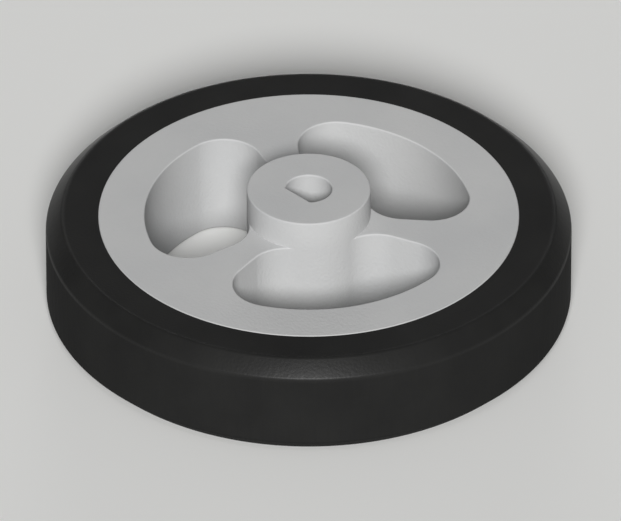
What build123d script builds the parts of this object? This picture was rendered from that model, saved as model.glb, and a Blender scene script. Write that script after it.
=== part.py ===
from build123d import *
import os
from math import radians, sin, tan

os.makedirs("parts", exist_ok=True)

# Small robot wheel that pushes onto the D shaft of a gearmotor: a moulded hub in a rubber tyre.
# Lengths are in millimetres and angles in degrees. The axle runs along Z, the plain back face of
# the wheel lies on z = 0, and the boss stands up from the front face.

# Whole wheel
wheel_diameter = 34.0
wheel_width = 7.0

# Tyre: smooth tread, with the same 45 degree chamfer on its front and back edges
tyre_wall = 3.4
tyre_edge_chamfer = 1.0

# Seat: a groove round the middle of the rim takes a rib inside the tyre, so the stretched
# rubber can't walk off sideways
groove_width = 3.0
groove_depth = 0.8
groove_flank_angle = 25.0

# Hub: the rim is as wide as the tyre and flush with it on both faces
rim_wall = 3.0
boss_diameter = 8.0
boss_height = 2.0

# Spokes: each one is a wedge with radial flanks, and the windows between them go right through
spoke_count = 3
spoke_angle = 20.0
window_corner_radius = 2.5

# D bore: its flat lies on the side of one spoke, the key spoke
bore_diameter = 3.0
bore_flat_depth = 0.5
key_spoke_direction = -90.0

# Worked out from the sizes above
tread_radius = wheel_diameter / 2
rim_radius = tread_radius - tyre_wall
window_radius = rim_radius - rim_wall
boss_radius = boss_diameter / 2
boss_top = wheel_width + boss_height
bore_radius = bore_diameter / 2
spoke_pitch = 360 / spoke_count


def turned(points):
    """The ring or disc whose half section has these (radius, height) points."""
    section = make_face(Plane.XZ * Polyline(*points, close=True))
    return revolve(section, Axis.Z)


def seat_line():
    """The joint between rim and tyre in half section, from the back face up to the front face."""
    middle = wheel_width / 2
    half_mouth = groove_width / 2
    half_floor = half_mouth - groove_depth * tan(radians(groove_flank_angle))
    floor_radius = rim_radius - groove_depth
    return [
        (rim_radius, 0),
        (rim_radius, middle - half_mouth),
        (floor_radius, middle - half_floor),
        (floor_radius, middle + half_floor),
        (rim_radius, middle + half_mouth),
        (rim_radius, wheel_width),
    ]


def window_profile():
    """One window, centred on +X: along the boss, out beside a spoke, along the rim and back."""
    half_angle = (spoke_pitch - spoke_angle) / 2
    along_boss = CenterArc((0, 0), boss_radius, -half_angle, 2 * half_angle)
    along_rim = CenterArc((0, 0), window_radius, -half_angle, 2 * half_angle)
    flanks = [Line(along_boss @ end, along_rim @ end) for end in (0, 1)]
    outline = make_face([along_boss, along_rim, *flanks])
    return fillet(outline.vertices(), corner_radius(half_angle))


def corner_radius(half_angle):
    """The windows' corner radius, or the largest that still leaves each edge a straight stretch."""
    edge_left = 0.98
    spread = sin(radians(half_angle))
    on_flank = (window_radius - boss_radius) / 2
    on_boss = boss_radius * spread / (1 - spread)
    return min(window_corner_radius, edge_left * min(on_flank, on_boss))


def bore_profile():
    """The D of the bore, with its flat towards +X."""
    flat_from_axis = bore_radius - bore_flat_depth
    kept = Rectangle(bore_radius + flat_from_axis, bore_diameter, align=(Align.MAX, Align.CENTER))
    return Circle(bore_radius) & Pos(flat_from_axis, 0) * kept


def make_hub():
    """Rim, spokes and boss, moulded as one piece."""
    boss_corner = [(boss_radius, wheel_width), (boss_radius, boss_top)]
    hub = turned([(0, 0), *seat_line(), *boss_corner, (0, boss_top)])
    window = extrude(window_profile(), wheel_width)
    for spoke in range(spoke_count):
        window_direction = key_spoke_direction + (spoke + 0.5) * spoke_pitch
        hub -= Rot(0, 0, window_direction) * window
    hub -= Rot(0, 0, key_spoke_direction) * extrude(bore_profile(), boss_top)
    return hub


def make_tyre():
    """Rubber ring, with the rib that fills the rim's groove."""
    shoulder_radius = tread_radius - tyre_edge_chamfer
    outside = [
        (shoulder_radius, wheel_width),
        (tread_radius, wheel_width - tyre_edge_chamfer),
        (tread_radius, tyre_edge_chamfer),
        (shoulder_radius, 0),
    ]
    return turned([*seat_line(), *outside])


for name, make in {"hub": make_hub, "tyre": make_tyre}.items():
    piece = make()
    piece.label = name
    export_step(piece, f"parts/{name}.step")
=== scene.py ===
from math import acos, asin, cos, pi, radians, sin, tan

import bmesh
import bpy
from mathutils import Matrix, Vector


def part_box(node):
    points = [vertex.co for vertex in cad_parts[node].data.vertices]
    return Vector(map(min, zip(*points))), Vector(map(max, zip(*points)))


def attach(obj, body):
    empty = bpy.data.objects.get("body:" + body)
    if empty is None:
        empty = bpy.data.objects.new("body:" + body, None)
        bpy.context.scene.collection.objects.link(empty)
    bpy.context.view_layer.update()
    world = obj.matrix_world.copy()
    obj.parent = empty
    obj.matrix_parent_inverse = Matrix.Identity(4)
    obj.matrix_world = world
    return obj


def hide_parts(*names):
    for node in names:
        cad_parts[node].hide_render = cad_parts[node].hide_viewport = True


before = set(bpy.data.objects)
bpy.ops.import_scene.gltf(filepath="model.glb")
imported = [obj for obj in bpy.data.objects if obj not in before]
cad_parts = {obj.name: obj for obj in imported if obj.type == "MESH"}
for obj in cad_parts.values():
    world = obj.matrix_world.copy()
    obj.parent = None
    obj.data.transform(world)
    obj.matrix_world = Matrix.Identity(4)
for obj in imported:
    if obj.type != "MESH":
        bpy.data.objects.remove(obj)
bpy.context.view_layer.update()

# Small robot wheel: a moulded hub in a rubber tyre, lying on its plain back face with its boss up.
# Lengths are in metres and angles in radians. The axle runs along Z through the origin.
MM = 0.001
UP = Vector((0, 0, 1))
AXLE = Vector((0, 0, 0))

# Sizes that the frame gives
wheel_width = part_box("tyre")[1].z
tread_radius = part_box("tyre")[1].x
rim_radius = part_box("hub")[1].x
boss_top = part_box("hub")[1].z

# Tyre: its outer edges are chamfered at 45 degrees, and a rib inside it sits in the rim's groove
tyre_chamfer = 1.0 * MM
groove_width = 3.0 * MM
groove_depth = 0.8 * MM
groove_flank = radians(25)

# Hub: three windows between wedge-shaped spokes, round the boss
window_radius = 10.6 * MM
window_corner = 2.5 * MM
window_half_spread = radians(50)
boss_radius = 4.0 * MM
spoke_count = 3
spoke_pitch = 2 * pi / spoke_count
key_spoke_direction = radians(-90)

# D bore: the flat of the D faces the key spoke
bore_radius = 1.5 * MM
bore_flat_from_axle = 1.0 * MM

# Small rounds that moulding leaves on every edge
hub_edge_round = 0.10 * MM
joint_edge_round = 0.08 * MM
tyre_edge_round = 0.12 * MM
round_steps = 4

# How finely curves are drawn. Turned rings start half a step off the X axis, so that none of
# their corners reaches past the wheel's own box.
ring_steps = 128
rim_arc_steps = 20
outer_corner_steps = 24
inner_corner_steps = 16
boss_arc_steps = 12
spoke_arc_steps = 16
bore_arc_steps = 56
merge_gap = 0.001 * MM
crease_angle = radians(35)
level_within = radians(0.8)       # faces nearer to level than this are shaded flat


def polar(radius, direction, height=0.0):
    """The point at this distance and direction from the axle."""
    return Vector((radius * cos(direction), radius * sin(direction), height))


def rounding(radius):
    """A rounded edge, from its wall to its face, as (distance from the wall, depth under the face)."""
    turns = [step * pi / 2 / round_steps for step in range(round_steps + 1)]
    return [(radius * (1 - cos(turn)), radius * (1 - sin(turn))) for turn in turns]


def arc(bm, start, centre, angle, steps):
    """Edges from a vertex round an upright line through centre. Returns their last vertex."""
    run = bmesh.ops.spin(bm, geom=[start], cent=centre, axis=UP, angle=angle, steps=steps)
    return run["geom_last"][0]


def line(bm, start, end):
    """A straight edge from a vertex to a place. Returns its last vertex."""
    far = bmesh.ops.extrude_vert_indiv(bm, verts=[start])["verts"]
    bmesh.ops.translate(bm, verts=far, vec=end - start.co)
    return far[0]


def bridge(bm, rings):
    """Walls from each ring of edges to the next."""
    for near, far in zip(rings, rings[1:]):
        bmesh.ops.bridge_loops(bm, edges=near + far)


def close_face(bm, height):
    """Fills the flat face at this height, out to the open edges that lie there."""
    rims = [
        edge for edge in bm.edges
        if edge.is_boundary and all(abs(vert.co.z - height) < merge_gap for vert in edge.verts)
    ]
    bmesh.ops.triangle_fill(bm, edges=rims, use_beauty=True, use_dissolve=False)


def turned(bm, points, closed):
    """Spins a half section of (radius, height) points all the way round the axle."""
    verts = [bm.verts.new(polar(radius, pi / ring_steps, height)) for radius, height in points]
    pairs = zip(verts, verts[1:] + verts[:1] if closed else verts[1:])
    edges = [bm.edges.new(pair) for pair in pairs]
    bmesh.ops.spin(
        bm, geom=verts + edges, cent=AXLE, axis=UP, angle=2 * pi, steps=ring_steps, use_merge=True
    )


def seat_groove():
    """The groove round the rim in half section, from back to front. The tyre's rib fills it."""
    middle = wheel_width / 2
    half_mouth = groove_width / 2
    half_floor = half_mouth - groove_depth * tan(groove_flank)
    groove_radius = rim_radius - groove_depth
    return [
        (rim_radius, middle - half_mouth),
        (groove_radius, middle - half_floor),
        (groove_radius, middle + half_floor),
        (rim_radius, middle + half_mouth),
    ]


def boss_meeting(corner, boss_line):
    """Where a window's inner corner meets the line of the boss: the angle between that place and
    the other circle's centre, first seen from the axle and then from the corner's own centre."""
    span = boss_radius + window_corner
    from_axle = (boss_line**2 + span**2 - corner**2) / (2 * boss_line * span)
    from_corner = (corner**2 + span**2 - boss_line**2) / (2 * corner * span)
    # Where the two circles only touch, rounding can take these cosines just past 1
    return acos(min(1, from_axle)), acos(min(1, from_corner))


# Directions of the corners' centres, from the middle of a window centred on +X
outer_corner_turn = window_half_spread - asin(window_corner / (window_radius - window_corner))
inner_corner_turn = window_half_spread - asin(window_corner / (boss_radius + window_corner))


def window_ring(bm, offset, height, boss_line):
    """One window's outline at one height, centred on +X and set back into the plastic by offset.
    It goes along the rim, round the outer corner, down the spoke's side, round the inner corner
    and back along the boss, and its other half mirrors that. Returns its edges."""
    older = set(bm.edges)
    corner = window_corner + offset
    outer_centre = polar(window_radius - window_corner, outer_corner_turn, height)
    inner_centre = polar(boss_radius + window_corner, inner_corner_turn, height)
    off_spoke = window_half_spread + pi / 2
    at_axle, at_corner = boss_meeting(corner, boss_line)
    start = polar(window_radius + offset, 0, height)
    end = bmesh.ops.create_vert(bm, co=start)["vert"][0]
    end = arc(bm, end, AXLE, outer_corner_turn, rim_arc_steps)
    end = arc(bm, end, outer_centre, off_spoke - outer_corner_turn, outer_corner_steps)
    end = line(bm, end, inner_centre + polar(corner, off_spoke))
    inner_sweep = pi + inner_corner_turn - off_spoke - at_corner
    end = arc(bm, end, inner_centre, inner_sweep, inner_corner_steps)
    arc(bm, end, AXLE, -inner_corner_turn - at_axle, boss_arc_steps)
    half = [edge for edge in bm.edges if edge not in older]
    ends = list({vert for edge in half for vert in edge.verts})
    bmesh.ops.mirror(bm, geom=ends + half, axis="Y", merge_dist=merge_gap)
    return [edge for edge in bm.edges if edge not in older]


def bore_ring(bm, offset, height):
    """The D of the bore at one height, set back into the plastic by offset. Returns its edges."""
    older = set(bm.edges)
    radius = bore_radius + offset
    flat_half = acos((bore_flat_from_axle + offset) / radius)
    start = polar(radius, key_spoke_direction + flat_half, height)
    first = bmesh.ops.create_vert(bm, co=start)["vert"][0]
    last = arc(bm, first, AXLE, 2 * (pi - flat_half), bore_arc_steps)
    bmesh.ops.contextual_create(bm, geom=[first, last])
    return [edge for edge in bm.edges if edge not in older]


def add_windows(bm):
    """The windows' walls with their rounded edges, and the foot of the boss between them."""
    edge = rounding(hub_edge_round)
    back = [window_ring(bm, offset, depth, boss_radius - offset) for offset, depth in reversed(edge)]
    front = [window_ring(bm, offset, wheel_width - depth, boss_radius) for offset, depth in edge]
    bridge(bm, back + front)
    foot_start = inner_corner_turn + boss_meeting(window_corner + hub_edge_round, boss_radius)[0]
    foot = bmesh.ops.create_vert(bm, co=polar(boss_radius, foot_start, wheel_width))["vert"][0]
    arc(bm, foot, AXLE, spoke_pitch - 2 * foot_start, spoke_arc_steps)
    first_window = key_spoke_direction + spoke_pitch / 2
    bmesh.ops.rotate(bm, verts=bm.verts, cent=AXLE, matrix=Matrix.Rotation(first_window, 3, UP))
    bmesh.ops.spin(
        bm, geom=bm.verts[:] + bm.edges[:] + bm.faces[:], cent=AXLE, axis=UP,
        angle=spoke_pitch * (spoke_count - 1), steps=spoke_count - 1, use_duplicate=True,
    )
    bmesh.ops.remove_doubles(bm, verts=bm.verts, dist=merge_gap)


def add_boss(bm):
    """The boss above the plate, raised from its foot to its rounded top edge."""
    def on_foot(vert):
        at_height = abs(vert.co.z - wheel_width) < merge_gap
        return at_height and abs(vert.co.xy.length - boss_radius) < merge_gap

    ring = [edge for edge in bm.edges if all(on_foot(vert) for vert in edge.verts)]
    radius, height = boss_radius, wheel_width
    for offset, depth in rounding(hub_edge_round):
        made = bmesh.ops.extrude_edge_only(bm, edges=ring)["geom"]
        verts = [part for part in made if isinstance(part, bmesh.types.BMVert)]
        ring = [part for part in made if isinstance(part, bmesh.types.BMEdge) and part.is_boundary]
        shrink = (boss_radius - offset) / radius
        bmesh.ops.scale(bm, verts=verts, vec=(shrink, shrink, 1))
        bmesh.ops.translate(bm, verts=verts, vec=UP * (boss_top - depth - height))
        radius, height = boss_radius - offset, boss_top - depth


def add_bore(bm):
    """The D bore's wall, rounded at both ends."""
    edge = rounding(hub_edge_round)
    back = [bore_ring(bm, offset, depth) for offset, depth in reversed(edge)]
    front = [bore_ring(bm, offset, boss_top - depth) for offset, depth in edge]
    bridge(bm, back + front)


def add_rim(bm):
    """The outside of the rim, with the groove for the tyre's rib."""
    edge = rounding(joint_edge_round)
    back = [(rim_radius - offset, depth) for offset, depth in reversed(edge)]
    front = [(rim_radius - offset, wheel_width - depth) for offset, depth in edge]
    turned(bm, back + seat_groove() + front, closed=False)


def make_hub():
    """Rim, spokes and boss in one moulding."""
    bm = bmesh.new()
    add_windows(bm)
    add_boss(bm)
    add_bore(bm)
    add_rim(bm)
    for height in (0, wheel_width, boss_top):
        close_face(bm, height)
    return finished("hub_moulding", bm, "hub", moulded_abs())


def round_rings(bm, corners, radius):
    """Rounds the ring edges that run through these (radius, height) points of the half section."""
    def at_corner(vert):
        return any(
            abs(vert.co.xy.length - ring) < merge_gap and abs(vert.co.z - height) < merge_gap
            for ring, height in corners
        )

    rings = [edge for edge in bm.edges if all(at_corner(vert) for vert in edge.verts)]
    bmesh.ops.bevel(
        bm, geom=rings, offset=radius, offset_type="OFFSET", affect="EDGES", segments=round_steps,
        profile=0.5, material=-1,
    )


def make_tyre():
    """One ring of rubber: flat faces flush with the hub's, chamfered edges and a plain tread."""
    bm = bmesh.new()
    shoulder_radius = tread_radius - tyre_chamfer
    joint = [(rim_radius, 0), (rim_radius, wheel_width)]
    outside = [
        (shoulder_radius, wheel_width),
        (tread_radius, wheel_width - tyre_chamfer),
        (tread_radius, tyre_chamfer),
        (shoulder_radius, 0),
    ]
    turned(bm, joint[:1] + seat_groove() + joint[1:] + outside, closed=True)
    bmesh.ops.remove_doubles(bm, verts=bm.verts, dist=merge_gap)
    round_rings(bm, outside, tyre_edge_round)
    round_rings(bm, joint, joint_edge_round)
    return finished("tyre_ring", bm, "tyre", moulded_rubber())


def finished(name, bm, cad_node, material):
    """Turns a closed shape into a piece that stands for a CAD node. Flat faces stay flat, and curved
    ones are shaded smoothly up to the creases."""
    bmesh.ops.remove_doubles(bm, verts=bm.verts, dist=merge_gap)
    bmesh.ops.recalc_face_normals(bm, faces=bm.faces)
    for face in bm.faces:
        face.smooth = abs(face.normal.z) < cos(level_within)
    for edge in bm.edges:
        edge.smooth = edge.calc_face_angle(0) < crease_angle
    mesh = bpy.data.meshes.new(name)
    bm.to_mesh(mesh)
    bm.free()
    mesh.materials.append(material)
    piece = bpy.data.objects.new(name, mesh)
    bpy.context.collection.objects.link(piece)
    shading = piece.modifiers.new("even_shading", "WEIGHTED_NORMAL")
    shading.keep_sharp = True
    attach(piece, "root")
    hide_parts(cad_node)
    return piece


def linear(code):
    """An sRGB hex colour as the linear RGBA that a shader takes."""
    parts = [int(code[place:place + 2], 16) / 255 for place in (1, 3, 5)]
    return (*[(c / 12.92 if c <= 0.04045 else ((c + 0.055) / 1.055) ** 2.4) for c in parts], 1.0)


def add(tree, kind, inputs=None, **settings):
    """Adds a node. Each input, by name or place, is given a value or the socket that feeds it."""
    node = tree.nodes.new(kind)
    for name, value in settings.items():
        setattr(node, name, value)
    for name, value in (inputs or {}).items():
        if isinstance(value, bpy.types.NodeSocket):
            tree.links.new(value, node.inputs[name])
        else:
            node.inputs[name].default_value = value
    return node


def new_material(name):
    """An empty material, and its node tree."""
    material = bpy.data.materials.new(name)
    material.use_nodes = True
    material.node_tree.nodes.clear()
    return material, material.node_tree


def moulded_abs():
    """ABS, injection moulded in light grey: a satin skin with the fine grain of its eroded mould,
    and faint clouds where the melt flowed."""
    grain_width = 0.22 * MM       # true grain is about 0.05 mm, too fine to show
    grain_depth = 0.028 * MM      # deeper than true in the same proportion
    grain_strength = 0.8
    cloud_width = 7 * MM
    grey, pale_grey = linear("#bebfc0"), linear("#d0d0cf")
    smoothest, roughest = 0.60, 0.74
    material, tree = new_material("moulded_grey_abs")
    place = add(tree, "ShaderNodeTexCoord").outputs["Object"]
    clouds = add(
        tree, "ShaderNodeTexNoise", {"Vector": place, "Scale": 1 / cloud_width, "Detail": 3.0}
    ).outputs["Fac"]
    grain = add(
        tree, "ShaderNodeTexNoise", {"Vector": place, "Scale": 1 / grain_width, "Detail": 2.0}
    ).outputs["Fac"]
    colour = add(
        tree, "ShaderNodeMix", {"Factor": clouds, 6: grey, 7: pale_grey}, data_type="RGBA"
    ).outputs[2]
    roughness = add(
        tree, "ShaderNodeMapRange", {"Value": grain, "To Min": smoothest, "To Max": roughest}
    ).outputs["Result"]
    skin = add(
        tree, "ShaderNodeBump",
        {"Height": grain, "Distance": grain_depth, "Strength": grain_strength},
    ).outputs["Normal"]
    # The reflection is weaker than the IOR alone gives, because the grain scatters part of it
    shader = add(tree, "ShaderNodeBsdfPrincipled", {
        "Base Color": colour, "Roughness": roughness, "Normal": skin, "IOR": 1.54,
        "Specular IOR Level": 0.22,
    })
    add(tree, "ShaderNodeOutputMaterial", {"Surface": shader.outputs["BSDF"]})
    return material


def moulded_rubber():
    """Black synthetic rubber, press moulded: matt and slightly mottled, with a fine dry grain. The
    front chamfer comes smoother out of the mould than the rest, so it catches a soft sheen."""
    grain_width = 0.18 * MM       # true grain is about 0.05 mm, too fine to show
    grain_depth = 0.016 * MM      # deeper than true in the same proportion
    grain_strength = 0.7
    mottle_width = 4 * MM
    black, worn_black = linear("#1b1b1b"), linear("#2c2c2b")
    smoothest, roughest = 0.86, 0.98
    chamfer_roughness = 0.38
    chamfer_reach = tread_radius + wheel_width - tyre_chamfer
    chamfer_fade = 0.3 * MM
    material, tree = new_material("moulded_black_rubber")
    place = add(tree, "ShaderNodeTexCoord").outputs["Object"]
    mottle = add(
        tree, "ShaderNodeTexNoise", {"Vector": place, "Scale": 1 / mottle_width, "Detail": 4.0}
    ).outputs["Fac"]
    grain = add(
        tree, "ShaderNodeTexNoise", {"Vector": place, "Scale": 1 / grain_width, "Detail": 3.0}
    ).outputs["Fac"]
    colour = add(
        tree, "ShaderNodeMix", {"Factor": mottle, 6: black, 7: worn_black}, data_type="RGBA"
    ).outputs[2]
    # Height and radius add up to the same sum all over the front chamfer, and to less elsewhere
    height = add(tree, "ShaderNodeSeparateXYZ", {"Vector": place}).outputs["Z"]
    across = add(tree, "ShaderNodeVectorMath", {0: place, 1: (1, 1, 0)}, operation="MULTIPLY")
    radius = add(tree, "ShaderNodeVectorMath", {0: across.outputs[0]}, operation="LENGTH")
    reach = add(
        tree, "ShaderNodeMath", {0: height, 1: radius.outputs["Value"]}, operation="ADD"
    ).outputs[0]
    on_chamfer = add(tree, "ShaderNodeMapRange", {
        "Value": reach, "From Min": chamfer_reach - chamfer_fade, "From Max": chamfer_reach,
    }).outputs["Result"]
    dry = add(
        tree, "ShaderNodeMapRange", {"Value": mottle, "To Min": smoothest, "To Max": roughest}
    ).outputs["Result"]
    roughness = add(
        tree, "ShaderNodeMix", {"Factor": on_chamfer, 2: dry, 3: chamfer_roughness}
    ).outputs[0]
    skin = add(
        tree, "ShaderNodeBump",
        {"Height": grain, "Distance": grain_depth, "Strength": grain_strength},
    ).outputs["Normal"]
    # The reflection is weaker than the IOR alone gives, because the dry grain scatters part of it
    shader = add(tree, "ShaderNodeBsdfPrincipled", {
        "Base Color": colour, "Roughness": roughness, "Normal": skin, "IOR": 1.52,
        "Specular IOR Level": 0.16,
    })
    add(tree, "ShaderNodeOutputMaterial", {"Surface": shader.outputs["BSDF"]})
    return material


# Stage and light. The floor lies a hair below the wheel, so that their faces don't coincide.
fill_strength = 0.10
floor_radius = 1.5
floor_sides = 64
floor_gap = 0.02 * MM


def seen_directly(tree):
    """1 for the rays that show the background: to the camera, by reflection or through a surface."""
    rays = add(tree, "ShaderNodeLightPath").outputs
    plus = dict(operation="ADD", use_clamp=True)
    both = add(tree, "ShaderNodeMath", {0: rays["Is Camera Ray"], 1: rays["Is Glossy Ray"]}, **plus)
    through = {0: both.outputs[0], 1: rays["Is Transmission Ray"]}
    return add(tree, "ShaderNodeMath", through, **plus).outputs[0]


def make_world():
    """An even white sky, as a weak fill."""
    world = bpy.data.worlds.new("studio")
    world.use_nodes = True
    tree = world.node_tree
    tree.nodes.clear()
    white = {"Color": linear("#ffffff"), "Strength": fill_strength}
    sky = add(tree, "ShaderNodeBackground", white)
    add(tree, "ShaderNodeOutputWorld", {"Surface": sky.outputs["Background"]})
    bpy.context.scene.world = world


def make_floor():
    """A round table top that takes the wheel's shadow. It is pale to the eye, and a darker grey for
    the light that it throws back onto the wheel."""
    bm = bmesh.new()
    bmesh.ops.create_circle(bm, cap_ends=True, radius=floor_radius, segments=floor_sides)
    bmesh.ops.translate(bm, verts=bm.verts, vec=-UP * floor_gap)
    mesh = bpy.data.meshes.new("floor")
    bm.to_mesh(mesh)
    bm.free()
    material, tree = new_material("pale_floor")
    thrown_back, seen = linear("#8c8c8b"), linear("#f2f2f0")
    colour = add(
        tree, "ShaderNodeMix", {"Factor": seen_directly(tree), 6: thrown_back, 7: seen},
        data_type="RGBA",
    ).outputs[2]
    paint = add(tree, "ShaderNodeBsdfDiffuse", {"Color": colour})
    add(tree, "ShaderNodeOutputMaterial", {"Surface": paint.outputs["BSDF"]})
    mesh.materials.append(material)
    floor = bpy.data.objects.new("floor", mesh)
    bpy.context.collection.objects.link(floor)


def towards(azimuth, elevation):
    """The direction from the wheel to a light or camera, with azimuth 0 in front, on -Y."""
    flat = cos(elevation)
    return Vector((sin(azimuth) * flat, -cos(azimuth) * flat, sin(elevation)))


def far_light(name, azimuth, elevation, spread, strength):
    """A round soft light, so far off that it lights the whole table evenly."""
    lamp = bpy.data.lights.new(name, "SUN")
    lamp.angle = spread
    lamp.energy = strength
    light = bpy.data.objects.new(name, lamp)
    light.rotation_mode = "QUATERNION"
    light.rotation_quaternion = (-towards(azimuth, elevation)).to_track_quat("-Z", "Y")
    bpy.context.collection.objects.link(light)


# Camera. The picture is an isometric drawing, so the camera stands far off with a long lens.
photo_width = 621
photo_height = 521
photo_scale = 15.48 / MM          # pixels to a metre, in the plane of the wheel's front face
front_centre_pixel = (308.7, 213.8)
camera_azimuth = radians(45)
camera_elevation = asin(1 / 3**0.5)
camera_lens = 950.0
camera_sensor = 36.0
clip_factor = 10


def make_camera():
    """Puts the middle of the wheel's front face at its pixel of the picture."""
    data = bpy.data.cameras.new("camera")
    data.sensor_width = camera_sensor
    data.lens = camera_lens
    back = towards(camera_azimuth, camera_elevation)
    right = UP.cross(back).normalized()
    above = back.cross(right)
    across = (photo_width / 2 - front_centre_pixel[0]) / photo_scale
    down = (photo_height / 2 - front_centre_pixel[1]) / photo_scale
    aim = UP * wheel_width + right * across - above * down
    distance = photo_width / photo_scale * camera_lens / camera_sensor
    data.clip_start = distance / clip_factor
    data.clip_end = distance * clip_factor
    camera = bpy.data.objects.new("camera", data)
    camera.location = aim + back * distance
    camera.rotation_mode = "QUATERNION"
    camera.rotation_quaternion = (-back).to_track_quat("-Z", "Y")
    bpy.context.collection.objects.link(camera)
    bpy.context.scene.camera = camera


make_hub()
make_tyre()
make_world()
make_floor()
# The key lights the wheel from the camera's side, the sheen is mirrored to the camera by the
# tyre's front chamfer, and the low back light opens up the side that is turned away.
far_light("key", camera_azimuth, radians(31), spread=radians(16), strength=3.1)
far_light("sheen", camera_azimuth, radians(56), spread=radians(12), strength=0.19)
far_light("back", camera_azimuth + pi, radians(4), spread=radians(20), strength=1.0)
make_camera()
bpy.context.scene.view_settings.view_transform = "Standard"
